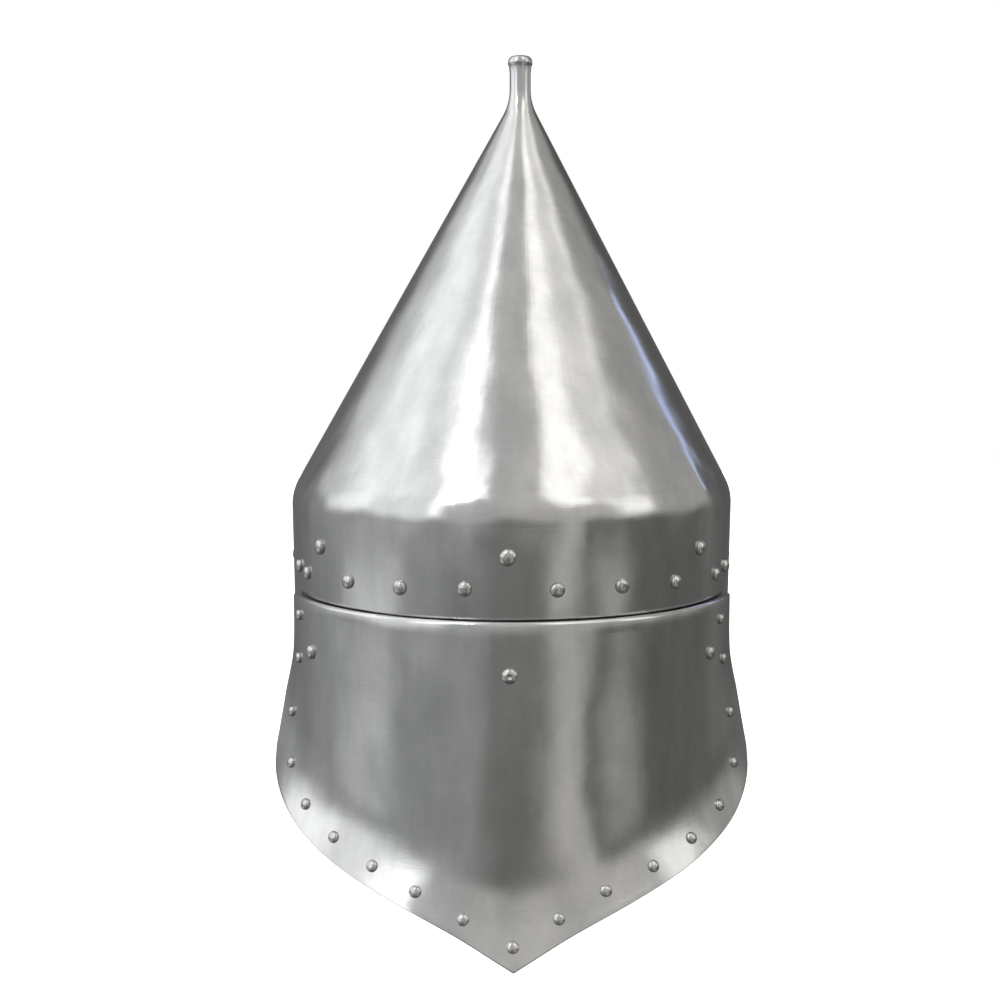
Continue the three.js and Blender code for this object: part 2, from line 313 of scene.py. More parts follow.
def linear(hex_colour):
    """Turns an sRGB hex colour to linear red, green, blue and alpha."""
    channels = [int(hex_colour[i:i + 2], 16) / 255 for i in (0, 2, 4)]
    return (*[c / 12.92 if c <= 0.04045 else ((c + 0.055) / 1.055) ** 2.4 for c in channels], 1.0)


class HelmetCrownSizes(bpy.types.PropertyGroup):
    """Sizes of the crown, measured on its outer face, sideways from the axis."""

    sheet: FloatProperty(
        name="Sheet",
        description="Thickness of the steel sheet",
        default=2.0 * MM,
        unit="LENGTH",
    )
    rim_radius: FloatProperty(
        name="Rim radius",
        description="Half the band's width at the open rim",
        default=104.8 * MM,
        unit="LENGTH",
    )
    shoulder_radius: FloatProperty(
        name="Shoulder radius",
        description="Half the width where the band meets the cone",
        default=105.5 * MM,
        unit="LENGTH",
    )
    shoulder_depth: FloatProperty(
        name="Shoulder depth",
        description="Half the crown's depth, front to back, at the shoulder",
        default=118.5 * MM,
        unit="LENGTH",
    )
    shoulder_height: FloatProperty(
        name="Shoulder height",
        description="Height of the shoulder above the rim",
        default=49.6 * MM,
        unit="LENGTH",
    )
    shoulder_fillet: FloatProperty(
        name="Shoulder bend",
        description="Radius of the bend between band and cone",
        default=24 * MM,
        unit="LENGTH",
    )
    neck_radius: FloatProperty(
        name="Neck radius",
        description="Radius of the finial's neck",
        default=5.0 * MM,
        unit="LENGTH",
    )
    neck_height: FloatProperty(
        name="Neck height",
        description="Height at which the cone's line reaches the neck",
        default=233 * MM,
        unit="LENGTH",
    )
    neck_fillet: FloatProperty(
        name="Neck bend",
        description="Radius of the bend between cone and neck",
        default=25.4 * MM,
        unit="LENGTH",
    )
    hollow_top: FloatProperty(
        name="Hollow top",
        description="Height at which the hollow ends under the solid finial",
        default=220.5 * MM,
        unit="LENGTH",
    )
    finial_top: FloatProperty(
        name="Finial top",
        description="Height of the finial's top",
        default=254.7 * MM,
        unit="LENGTH",
    )
    segments: IntProperty(
        name="Segments",
        description="Faces round the crown",
        default=192,
        min=24,
    )


class HelmetPlateSizes(bpy.types.PropertyGroup):
    """Sizes of the nape plate and of the straps that carry it."""

    radius: FloatProperty(
        name="Plate radius",
        description="Half the width of the plate's upright part",
        default=107.5 * MM,
        unit="LENGTH",
    )
    top: FloatProperty(
        name="Top edge",
        description="Height of the plate's top edge, which laps over the crown's rim",
        default=4.5 * MM,
        unit="LENGTH",
    )
    flare: FloatProperty(
        name="Flare",
        description="How far the lower margin turns outwards",
        default=10 * MM,
        unit="LENGTH",
    )
    columns: IntProperty(
        name="Columns",
        description="Faces across the plate",
        default=120,
        min=12,
    )
    rows: IntProperty(
        name="Rows",
        description="Faces down the plate",
        default=56,
        min=8,
    )
    strap_width: FloatProperty(
        name="Strap width",
        description="Width of a leather strap",
        default=16 * MM,
        unit="LENGTH",
    )
    strap_thickness: FloatProperty(
        name="Strap thickness",
        description="Thickness of the leather",
        default=2.5 * MM,
        unit="LENGTH",
    )
    strap_end: FloatProperty(
        name="Strap end",
        description="Leather beyond a strap's rivets",
        default=8 * MM,
        unit="LENGTH",
    )


class HelmetRivetSizes(bpy.types.PropertyGroup):
    """Radius and height of each kind of rivet head."""

    crown_strap: FloatVectorProperty(
        name="Crown strap head",
        description="Radius and height of the heads that hold the straps to the crown",
        default=(3.5 * MM, 2.0 * MM),
        size=2,
        unit="LENGTH",
    )
    plate_strap: FloatVectorProperty(
        name="Plate strap head",
        description="Radius and height of the heads that hold the straps to the plate",
        default=(3.2 * MM, 1.9 * MM),
        size=2,
        unit="LENGTH",
    )
    lining: FloatVectorProperty(
        name="Lining head",
        description="Radius and height of the heads of the lining's row",
        default=(3.15 * MM, 1.8 * MM),
        size=2,
        unit="LENGTH",
    )
    margin: FloatVectorProperty(
        name="Margin head",
        description="Radius and height of the heads along the plate's margin",
        default=(2.55 * MM, 1.5 * MM),
        size=2,
        unit="LENGTH",
    )


class HelmetFinishes(bpy.types.PropertyGroup):
    """Colours of the steel and the leather."""

    steel_dull: FloatVectorProperty(
        name="Steel, duller",
        description="Colour of the sheet where the polish is cloudy",
        default=linear("B4B5B5"),
        size=4,
        subtype="COLOR",
    )
    steel_bright: FloatVectorProperty(
        name="Steel, brighter",
        description="Colour of the sheet where the polish is clear",
        default=linear("CCCCCB"),
        size=4,
        subtype="COLOR",
    )
    rivet: FloatVectorProperty(
        name="Rivets",
        description="Colour of the rivet heads",
        default=linear("B9B8B6"),
        size=4,
        subtype="COLOR",
    )
    leather_dark: FloatVectorProperty(
        name="Leather, darker",
        description="Colour of the straps where they are handled",
        default=linear("3B2619"),
        size=4,
        subtype="COLOR",
    )
    leather_light: FloatVectorProperty(
        name="Leather, lighter",
        description="Colour of the rest of the straps",
        default=linear("5C3F2A"),
        size=4,
        subtype="COLOR",
    )
    floor: FloatVectorProperty(
        name="Floor",
        description="Colour of the studio floor",
        default=linear("F4F4F3"),
        size=4,
        subtype="COLOR",
    )


class HelmetStudio(bpy.types.PropertyGroup):
    """Camera and floor."""

    camera_distance: FloatProperty(
        name="Camera distance",
        description="Distance of the camera behind the helmet",
        default=0.650,
        unit="LENGTH",
    )
    camera_height: FloatProperty(
        name="Camera height",
        description="Height of the camera above the rim",
        default=101.24 * MM,
        unit="LENGTH",
    )
    camera_side: FloatProperty(
        name="Camera side shift",
        description="How far the camera stands to the side of the helmet's middle",
        default=-5.4 * MM,
        unit="LENGTH",
    )
    camera_down: FloatProperty(
        name="Camera tilt",
        description="How far the camera looks down",
        default=math.radians(5.10),
        subtype="ANGLE",
    )
    lens: FloatProperty(
        name="Lens",
        description="Focal length in millimetres on a 36 mm sensor",
        default=48.04,
    )
    floor_height: FloatProperty(
        name="Floor height",
        description="Height of the floor below the rim",
        default=-0.42,
        unit="LENGTH",
    )


# Shapes that several pieces follow


def smoothstep(value, low, high):
    share = min(1.0, max(0.0, (value - low) / (high - low)))
    return share * share * (3 - 2 * share)


def lean_at(height):
    """How far the crown's axis stands to the side at a height."""
    share = min(1.0, max(0.0, (height - LEAN_START) / (LEAN_END - LEAN_START)))
    return FINIAL_LEAN * share


def depth_of(radius):
    """Half depth of the oval whose half width is radius: round at the neck, deeper at the band."""
    crown = bpy.context.scene.helmet_crown
    stretch = (crown.shoulder_depth - crown.shoulder_radius) / (crown.shoulder_radius - crown.neck_radius)
    return radius + stretch * max(0.0, radius - crown.neck_radius)


def point_on_oval(radius, azimuth, height):
    angle = math.radians(azimuth)
    return Vector((
        lean_at(height) + radius * math.sin(angle),
        -depth_of(radius) * math.cos(angle),
        height,
    ))


def crown_point(azimuth, height):
    """A point of the band's outer face."""
    crown = bpy.context.scene.helmet_crown
    share = height / crown.shoulder_height
    radius = crown.rim_radius + (crown.shoulder_radius - crown.rim_radius) * share
    return point_on_oval(radius, azimuth, height)


def flare_at(azimuth, height):
    """How far the plate stands out from its upright part, growing towards the lower edge."""
    side = math.hypot(FLARE_LINE_SIDE, FLARE_LINE_BEND)
    foot = FLARE_LINE_HEIGHT - FLARE_LINE_RISE * (side - math.hypot(azimuth, FLARE_LINE_BEND))
    share = max(0.0, 1 - (height - foot) / FLARE_TALL)
    beside = (1 + FLARE_SOFTNESS) * share * share / (share + FLARE_SOFTNESS)
    margin = max(0.0, 1 - (height - foot) / MARGIN_TALL)
    if margin > 1:
        turned = 1 + MARGIN_POWER * (margin - 1)
    else:
        turned = margin ** MARGIN_POWER
    behind = GENTLE_SHARE * share * share + (1 - GENTLE_SHARE) * turned
    mix = max(0.0, (abs(azimuth) - SIDE_FROM) / (PLATE_SIDE - SIDE_FROM)) ** SIDE_POWER
    return bpy.context.scene.helmet_plate.flare * (behind + (beside - behind) * mix)


def plate_point(azimuth, height):
    """A point of the plate's outer face."""
    radius = bpy.context.scene.helmet_plate.radius + flare_at(azimuth, height)
    return point_on_oval(radius, azimuth, height)


def outward(surface, azimuth, height):
    """The outward direction of a surface given as a function of azimuth and height."""
    turn = 0.5
    rise = 0.5 * MM
    along = surface(azimuth + turn, height) - surface(azimuth - turn, height)
    up = surface(azimuth, height + rise) - surface(azimuth, height - rise)
    return along.cross(up).normalized()


def bend_points(before, corner, after, radius, steps):
    """Points of a round bend of the given radius at a corner of a profile."""
    back = (before - corner).normalized()
    ahead = (after - corner).normalized()
    half = back.angle(ahead) / 2
    centre = corner + (back + ahead).normalized() * (radius / math.sin(half))
    start = corner + back * (radius / math.tan(half)) - centre
    turn = start.angle_signed(corner + ahead * (radius / math.tan(half)) - centre)
    points = []
    for step in range(steps + 1):
        angle = -turn * step / steps
        spun = Vector((
            start.x * math.cos(angle) - start.y * math.sin(angle),
            start.x * math.sin(angle) + start.y * math.cos(angle),
        ))
        points.append(centre + spun)
    return points


def lower_edge_height(azimuth):
    """Height of the plate's lower edge: a smooth line through the rows of its table."""
    place = abs(azimuth)
    rows = PLATE_LOWER_EDGE
    last = len(rows) - 1
    fine = []
    for index in range(last):
        before = Vector(rows[max(index - 1, 0)])
        here = Vector(rows[index])
        there = Vector(rows[index + 1])
        after = Vector(rows[min(index + 2, last)])
        for step in range(PLATE_EDGE_STEPS):
            t = step / PLATE_EDGE_STEPS
            fine.append(0.5 * (
                2 * here
                + (there - before) * t
                + (2 * before - 5 * here + 4 * there - after) * t * t
                + (3 * here - before - 3 * there + after) * t * t * t
            ))
    fine.append(Vector(rows[last]))
    for low, high in zip(fine, fine[1:]):
        if place <= high.x:
            share = (place - low.x) / max(high.x - low.x, 1e-9)
            return (low.y + (high.y - low.y) * share) * MM
    return rows[last][1] * MM


# Modelling by hand


def deselect_all():
    bpy.ops.object.select_all(action="DESELECT")


def name_piece(obj, name):
    obj.name = name
    obj.data.name = name
    return obj


def select_vertices(obj, numbers):
    """Selects the vertices with these numbers, and nothing else, in edit mode."""
    mesh = bmesh.from_edit_mesh(obj.data)
    mesh.verts.ensure_lookup_table()
    for element in (*mesh.verts, *mesh.edges, *mesh.faces):
        element.select_set(False)
    for number in numbers:
        mesh.verts[number].select_set(True)
    bmesh.update_edit_mesh(obj.data)


def add_sheet(name, width, tall, top, columns, rows):
    """Adds an upright flat grid that faces -Y, its vertices numbered row by row from below."""
    deselect_all()
    bpy.ops.mesh.primitive_grid_add(
        x_subdivisions=columns,
        y_subdivisions=rows,
        size=1,
        location=(0, 0, top - tall / 2),
        rotation=(math.radians(90), 0, 0),
    )
    obj = name_piece(bpy.context.object, name)
    obj.scale = (width, tall, 1)
    bpy.ops.object.transform_apply(location=True, rotation=True, scale=True)
    return obj


def raise_rings(name, rings, segments, depth=None):
    """Extrudes a circle ring by ring along a profile of radius and height, closed at both ends.

    depth gives a ring's half depth from its radius where the piece is oval, and then the rings
    follow the crown's lean as well.
    """
    def stretch(radius):
        return depth(radius) if depth else radius

    def middle(height):
        return lean_at(height) if depth else 0.0

    deselect_all()
    start = rings[0]
    centre = (middle(start.y), 0, start.y)
    bpy.ops.mesh.primitive_circle_add(vertices=segments, radius=start.x, location=centre)
    obj = bpy.context.object
    bpy.ops.object.transform_apply(location=True, rotation=True, scale=True)
    bpy.ops.object.mode_set(mode="EDIT")
    bpy.ops.mesh.select_mode(type="EDGE")
    bpy.ops.mesh.select_all(action="SELECT")
    bpy.ops.transform.resize(value=(1, stretch(start.x) / start.x, 1), center_override=centre)
    for last, ring in zip(rings, rings[1:]):
        move = (middle(ring.y) - middle(last.y), 0, ring.y - last.y)
        bpy.ops.mesh.extrude_region_move(TRANSFORM_OT_translate={"value": move})
        bpy.ops.transform.resize(
            value=(ring.x / last.x, stretch(ring.x) / stretch(last.x), 1),
            center_override=(middle(ring.y), 0, ring.y),
        )
    bpy.ops.mesh.select_non_manifold(extend=False)
    bpy.ops.mesh.edge_face_add()
    bpy.ops.mesh.select_all(action="SELECT")
    bpy.ops.mesh.normals_make_consistent(inside=False)
    bpy.ops.object.mode_set(mode="OBJECT")
    return name_piece(obj, name)


def apply_modifier(obj, kind, **settings):
    modifier = obj.modifiers.new(kind.title(), kind)
    for key, value in settings.items():
        setattr(modifier, key, value)
    bpy.context.view_layer.objects.active = obj
    bpy.ops.object.modifier_apply(modifier=modifier.name)


def smooth(obj, angle):
    deselect_all()
    obj.select_set(True)
    bpy.context.view_layer.objects.active = obj
    bpy.ops.object.shade_smooth_by_angle(angle=math.radians(angle))


def finish_piece(obj, material, nodes):
    obj.data.materials.clear()
    obj.data.materials.append(material)
    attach(obj, BODY)
    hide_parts(*nodes)


# Finishes


def add_node(tree, kind, settings=None, links=None):
    """Adds a node, gives its attributes and sockets their values, and links its inputs."""
    node = tree.nodes.new(kind)
    for key, value in (settings or {}).items():
        if isinstance(key, int) or key in node.inputs:
            node.inputs[key].default_value = value
        else:
            setattr(node, key, value)
    for key, source in (links or {}).items():
        tree.links.new(source, node.inputs[key])
    return node


def fade(start, end):
    """Settings of a Map Range node that goes smoothly from 0 at start to 1 at end."""
    return {"interpolation_type": "SMOOTHSTEP", "From Min": start, "From Max": end}


def spread(low, high):
    """Settings of a Map Range node that takes a noise texture's values to this range."""
    return {"From Min": NOISE_LOW, "From Max": NOISE_HIGH, "To Min": low, "To Max": high}


def new_material(name):
    material = bpy.data.materials.new(name)
    material.use_nodes = True
    material.node_tree.nodes.clear()
    return material, material.node_tree


def sheet_steel():
    """Mild steel sheet, raised with the hammer, planished and brushed round with fine abrasive.

    Its reflections are soft and waver, and spread up and down across the brush lines.
    """
    finish = bpy.context.scene.helmet_finishes
    material, tree = new_material(SHEET_FINISH)
    place = add_node(tree, "ShaderNodeTexCoord").outputs["Object"]
    waves = add_node(tree, "ShaderNodeTexNoise",
                     {"Scale": 1 / WAVE_WIDTH, "Detail": 1.0, "Roughness": 0.35}, {"Vector": place})
    dents = add_node(tree, "ShaderNodeTexNoise",
                     {"Scale": 1 / DENT_WIDTH, "Detail": 2.0, "Roughness": 0.5}, {"Vector": place})
    blows = add_node(tree, "ShaderNodeTexNoise",
                     {"Scale": 1 / BLOW_WIDTH, "Detail": 1.0, "Roughness": 0.4}, {"Vector": place})
    clouds = add_node(tree, "ShaderNodeTexNoise",
                      {"Scale": 1 / CLOUD_WIDTH, "Detail": 5.0, "Roughness": 0.55}, {"Vector": place})
    line_scale = (1 / BRUSH_LENGTH, 1 / BRUSH_LENGTH, 1 / BRUSH_SPACING)
    line_place = add_node(tree, "ShaderNodeMapping", {"Scale": line_scale}, {"Vector": place})
    lines = add_node(tree, "ShaderNodeTexNoise", {"Scale": 1.0, "Detail": 3.0, "Roughness": 0.65},
                     {"Vector": line_place.outputs[0]})
    smudge_scale = (1 / SMUDGE_WIDTH, 1 / SMUDGE_WIDTH, 1 / SMUDGE_LENGTH)
    smudge_place = add_node(tree, "ShaderNodeMapping", {"Scale": smudge_scale}, {"Vector": place})
    smudges = add_node(tree, "ShaderNodeTexNoise", {"Scale": 1.0, "Detail": 4.0, "Roughness": 0.6},
                       {"Vector": smudge_place.outputs[0]})

    # The blows are felt only near the shoulder.
    height = add_node(tree, "ShaderNodeSeparateXYZ", {}, {0: place}).outputs["Z"]
    from_below = add_node(tree, "ShaderNodeMapRange", fade(*BLOWS_BELOW), {"Value": height})
    from_above = add_node(tree, "ShaderNodeMapRange", fade(*BLOWS_ABOVE), {"Value": height})
    shoulder = add_node(tree, "ShaderNodeMath", {"operation": "MULTIPLY"},
                        {0: from_below.outputs[0], 1: from_above.outputs[0]})

    # The brush strokes are a little lighter and darker too, on top of the smudges.
    strokes = add_node(tree, "ShaderNodeMath", {"operation": "MULTIPLY_ADD", 1: BRUSH_TONE},
                       {0: lines.outputs[0], 2: smudges.outputs[0]})
    tone = add_node(tree, "ShaderNodeMapRange", fade(*TONE_RANGE), {"Value": strokes.outputs[0]})
    tint = add_node(tree, "ShaderNodeMix",
                    {"data_type": "RGBA", 6: finish.steel_dull, 7: finish.steel_bright},
                    {0: tone.outputs[0]})
    rough = add_node(tree, "ShaderNodeMapRange", spread(*SHEET_ROUGHNESS), {"Value": clouds.outputs[0]})

    # The bumps, each on top of the one before.
    wave_bump = add_node(tree, "ShaderNodeBump", {"Strength": 1.0, "Distance": WAVE_DEPTH},
                         {"Height": waves.outputs[0]})
    dent_bump = add_node(tree, "ShaderNodeBump", {"Strength": 1.0, "Distance": DENT_DEPTH},
                         {"Height": dents.outputs[0], "Normal": wave_bump.outputs[0]})
    blow_bump = add_node(tree, "ShaderNodeBump", {"Distance": BLOW_DEPTH},
                         {"Strength": shoulder.outputs[0], "Height": blows.outputs[0],
                          "Normal": dent_bump.outputs[0]})
    line_bump = add_node(tree, "ShaderNodeBump", {"Strength": 0.2, "Distance": BRUSH_DEPTH},
                         {"Height": lines.outputs[0], "Normal": blow_bump.outputs[0]})
    shader = add_node(tree, "ShaderNodeBsdfPrincipled",
                      {"Metallic": 1.0, "Anisotropic": 0.5, "Anisotropic Rotation": 0.25},
                      {"Base Color": tint.outputs[2], "Roughness": rough.outputs[0],
                       "Normal": line_bump.outputs[0]})
    add_node(tree, "ShaderNodeOutputMaterial", {}, {"Surface": shader.outputs[0]})
    return material


def rivet_steel():
    """Soft steel wire rivets, peened to a dome with the hammer and wiped with the polishing wheel.

    Their highlights are small and broken by the hammer's facets.
    """
    finish = bpy.context.scene.helmet_finishes
    material, tree = new_material(RIVET_FINISH)
    place = add_node(tree, "ShaderNodeTexCoord").outputs["Object"]
    facets = add_node(tree, "ShaderNodeTexNoise",
                      {"Scale": 1 / FACET_WIDTH, "Detail": 1.0, "Roughness": 0.5}, {"Vector": place})
    bump = add_node(tree, "ShaderNodeBump", {"Strength": 0.6, "Distance": FACET_DEPTH},
                    {"Height": facets.outputs[0]})
    rough = add_node(tree, "ShaderNodeMapRange", spread(*RIVET_ROUGHNESS), {"Value": facets.outputs[0]})
    shader = add_node(tree, "ShaderNodeBsdfPrincipled",
                      {"Metallic": 1.0, "Base Color": finish.rivet},
                      {"Roughness": rough.outputs[0], "Normal": bump.outputs[0]})
    add_node(tree, "ShaderNodeOutputMaterial", {}, {"Surface": shader.outputs[0]})
    return material


def strap_leather():
    """Vegetable tanned cowhide, oiled: a matt brown with pores and darker where it is handled."""
    finish = bpy.context.scene.helmet_finishes
    material, tree = new_material(STRAP_FINISH)
    place = add_node(tree, "ShaderNodeTexCoord").outputs["Object"]
    grain = add_node(tree, "ShaderNodeTexVoronoi", {"Scale": 1 / GRAIN_WIDTH}, {"Vector": place})
    patches = add_node(tree, "ShaderNodeTexNoise", {"Scale": 1 / PATCH_WIDTH, "Detail": 3.0},
                       {"Vector": place})
    tint = add_node(tree, "ShaderNodeMix",
                    {"data_type": "RGBA", 6: finish.leather_dark, 7: finish.leather_light},
                    {0: patches.outputs[0]})
    bump = add_node(tree, "ShaderNodeBump", {"Strength": 0.5, "Distance": GRAIN_DEPTH},
                    {"Height": grain.outputs["Distance"]})
    shader = add_node(tree, "ShaderNodeBsdfPrincipled", {"Roughness": 0.62, "IOR": 1.5},
                      {"Base Color": tint.outputs[2], "Normal": bump.outputs[0]})
    add_node(tree, "ShaderNodeOutputMaterial", {}, {"Surface": shader.outputs[0]})
    return material


def material_once(name, make):
    return bpy.data.materials.get(name) or make()


# Pieces


class HELMET_OT_crown(bpy.types.Operator):
    """Raise the crown: band, cone and finial in one piece of steel, hollow below"""

    bl_idname = "helmet.crown"
    bl_label = "Crown"

    def execute(self, context):
        size = context.scene.helmet_crown
        slope = (size.shoulder_radius - size.neck_radius) / (size.neck_height - size.shoulder_height)
        across = size.sheet * math.hypot(1, slope)
        rim = Vector((size.rim_radius, 0))
        shoulder = Vector((size.shoulder_radius, size.shoulder_height))
        neck = Vector((size.neck_radius, size.neck_height))
        neck_top = Vector((size.neck_radius, size.finial_top - NECK_DROP))
        inner_rim = Vector((size.rim_radius - size.sheet, 0))
        inner_shoulder = Vector((
            size.shoulder_radius - size.sheet,
            size.shoulder_height - (across - size.sheet) / slope,
        ))
        inner_top = Vector((
            size.shoulder_radius - across - slope * (size.hollow_top - size.shoulder_height),
            size.hollow_top,
        ))
        inner_fillet = size.shoulder_fillet - size.sheet
        rings = [
            inner_top,
            *bend_points(inner_top, inner_shoulder, inner_rim, inner_fillet, SHOULDER_STEPS),
            Vector((inner_rim.x, RIM_ROUNDING)),
            Vector((inner_rim.x + RIM_CORNER, RIM_CORNER)),
            Vector((inner_rim.x + RIM_ROUNDING, 0)),
            Vector((rim.x - RIM_ROUNDING, 0)),
            Vector((rim.x - RIM_CORNER, RIM_CORNER)),
            Vector((rim.x, RIM_ROUNDING)),
            *bend_points(rim, shoulder, neck, size.shoulder_fillet, SHOULDER_STEPS),
            *bend_points(shoulder, neck, neck_top, size.neck_fillet, NECK_STEPS),
            neck_top,
            *[Vector((radius * MM, size.finial_top - drop * MM)) for radius, drop in FINIAL_PROFILE],
        ]
        obj = raise_rings("steel_crown", rings, size.segments, depth=depth_of)
        smooth(obj, angle=40)
        finish_piece(obj, material_once(SHEET_FINISH, sheet_steel), ["crown"])
        return {"FINISHED"}


class HELMET_OT_nape_plate(bpy.types.Operator):
    """Cut the nape plate out of sheet, bend it round the neck and turn its margin outwards"""

    bl_idname = "helmet.nape_plate"
    bl_label = "Nape plate"

    def execute(self, context):
        size = context.scene.helmet_plate
        sheet = context.scene.helmet_crown.sheet
        half_width = size.radius * math.radians(PLATE_SIDE)
        tall = size.top - lower_edge_height(0)
        across = size.columns + 1
        obj = add_sheet("steel_nape_plate", 2 * half_width, tall, size.top, size.columns, size.rows)
        bpy.ops.object.mode_set(mode="EDIT")
        bpy.ops.mesh.select_mode(type="VERT")

        # Two rows go up close under the top edge, which is thinned and chamfered there.
        row_tall = tall / size.rows
        for rows_down, drop in ((1, CHAMFER_TALL), (2, TAPER_TALL)):
            row = size.rows - rows_down
            select_vertices(obj, range(row * across, (row + 1) * across))
            bpy.ops.transform.translate(value=(0, 0, rows_down * row_tall - drop))

        # The columns crowd towards the sides, where the outline turns its corner, and each is
        # shortened to the lower edge.
        for column in range(across):
            share = 2 * column / size.columns - 1
            flat = share * half_width
            eased = half_width * ((1 + COLUMN_CROWDING) * share - COLUMN_CROWDING * share ** 3)
            reach = size.top - lower_edge_height(math.degrees(eased / size.radius))
            select_vertices(obj, range(column, across * (size.rows + 1), across))
            bpy.ops.transform.resize(value=(1, 1, reach / tall), center_override=(0, 0, size.top))
            bpy.ops.transform.translate(value=(eased - flat, 0, 0))

        # Beside the rim the rows are narrower than below it.
        side_foot = lower_edge_height(PLATE_SIDE)
        for row in range(size.rows + 1):
            height = side_foot + (size.top - side_foot) * row / size.rows
            widened = 1 - smoothstep(height, *PLATE_SIDE_STEP)
            side = PLATE_SIDE_TOP + (PLATE_SIDE - PLATE_SIDE_TOP) * widened
            select_vertices(obj, range(row * across, (row + 1) * across))
            bpy.ops.transform.resize(value=(side / PLATE_SIDE, 1, 1), center_override=(0, 0, height))
        bpy.ops.object.mode_set(mode="OBJECT")

        # The sheet is bent round a drum, and its margin turned out from there.
        apply_modifier(obj, "SIMPLE_DEFORM", deform_method="BEND", deform_axis="Z",
                       angle=2 * math.radians(PLATE_SIDE))
        group = obj.vertex_groups.new(name="flare")
        largest = FLARE_LIMIT * size.flare
        for vertex in obj.data.vertices:
            azimuth = math.degrees(math.atan2(vertex.co.x, size.radius - vertex.co.y))
            group.add([vertex.index], flare_at(azimuth, vertex.co.z) / largest, "REPLACE")
        apply_modifier(obj, "DISPLACE", direction="NORMAL", strength=largest, mid_level=0,
                       vertex_group="flare")
        obj.vertex_groups.clear()

        # The drum becomes the head's oval.
        middle_radius = size.radius + size.flare / 2
        bpy.ops.object.mode_set(mode="EDIT")
        bpy.ops.mesh.select_all(action="SELECT")
        bpy.ops.transform.translate(value=(0, -size.radius, 0))
        bpy.ops.transform.resize(value=(1, depth_of(middle_radius) / middle_radius, 1),
                                 center_override=(0, 0, 0))
        bpy.ops.object.mode_set(mode="OBJECT")
        apply_modifier(obj, "SOLIDIFY", thickness=sheet, offset=-1, use_even_offset=True)
        bpy.ops.object.mode_set(mode="EDIT")
        for row, deep in ((size.rows, CHAMFER_DEEP), (size.rows - 1, TAPER_DEEP)):
            select_vertices(obj, range(row * across, (row + 1) * across))
            pulled_in = 1 - deep / size.radius
            bpy.ops.transform.resize(value=(pulled_in, pulled_in, 1), center_override=(0, 0, 0))
        bpy.ops.object.mode_set(mode="OBJECT")
        apply_modifier(obj, "BEVEL", width=PLATE_ROUNDING, segments=3, limit_method="ANGLE",
                       angle_limit=math.radians(42))
        smooth(obj, angle=30)
        finish_piece(obj, material_once(SHEET_FINISH, sheet_steel), ["nape_plate"])
        return {"FINISHED"}


class HELMET_OT_straps(bpy.types.Operator):
    """Cut the three leather straps and lay them inside the back, from the crown down to the plate"""

    bl_idname = "helmet.straps"
    bl_label = "Hanging straps"

    def execute(self, context):
        crown = context.scene.helmet_crown
        plate = context.scene.helmet_plate
        across = STRAP_COLUMNS + 1
        leather = material_once(STRAP_FINISH, strap_leather)

        def inner_face(azimuth, height):
            share = height / crown.shoulder_height
            on_crown = crown.rim_radius + (crown.shoulder_radius - crown.rim_radius) * share
            on_plate = plate.radius + flare_at(azimuth, height)
            climb = smoothstep(height, *STRAP_STEP)
            radius = on_plate + (on_crown - on_plate) * climb - crown.sheet - STRAP_LAY
            return point_on_oval(radius, azimuth, height)

        for name, (crown_azimuth, crown_height), (plate_azimuth, plate_height) in STRAPS:
            top = crown_height * MM + plate.strap_end
            foot = plate_height * MM - plate.strap_end
            obj = add_sheet(f"leather_strap_{name}", plate.strap_width, top - foot, top,
                            STRAP_COLUMNS, STRAP_ROWS)
            bpy.ops.object.mode_set(mode="EDIT")
            bpy.ops.mesh.select_mode(type="VERT")
            for row in range(STRAP_ROWS + 1):
                height = foot + (top - foot) * row / STRAP_ROWS
                climb = (height / MM - plate_height) / (crown_height - plate_height)
                azimuth = plate_azimuth + (crown_azimuth - plate_azimuth) * climb
                seat = inner_face(azimuth, height)
                facing = outward(crown_point, azimuth, height)
                select_vertices(obj, range(row * across, (row + 1) * across))
                bpy.ops.transform.rotate(value=-math.atan2(facing.x, -facing.y), orient_axis="Z",
                                         center_override=(0, 0, height))
                bpy.ops.transform.translate(value=(seat.x, seat.y, 0))
            corners = (0, STRAP_COLUMNS, STRAP_ROWS * across, (STRAP_ROWS + 1) * across - 1)
            select_vertices(obj, corners)
            bpy.ops.mesh.bevel(affect="VERTICES", offset=STRAP_CORNER, segments=4)
            bpy.ops.object.mode_set(mode="OBJECT")
            apply_modifier(obj, "SOLIDIFY", thickness=plate.strap_thickness, offset=-1)
            apply_modifier(obj, "BEVEL", width=STRAP_ROUNDING, segments=2, limit_method="ANGLE",
                           angle_limit=math.radians(50))
            smooth(obj, angle=40)
            finish_piece(obj, leather, [f"hanging_strap_{name}"])
        return {"FINISHED"}


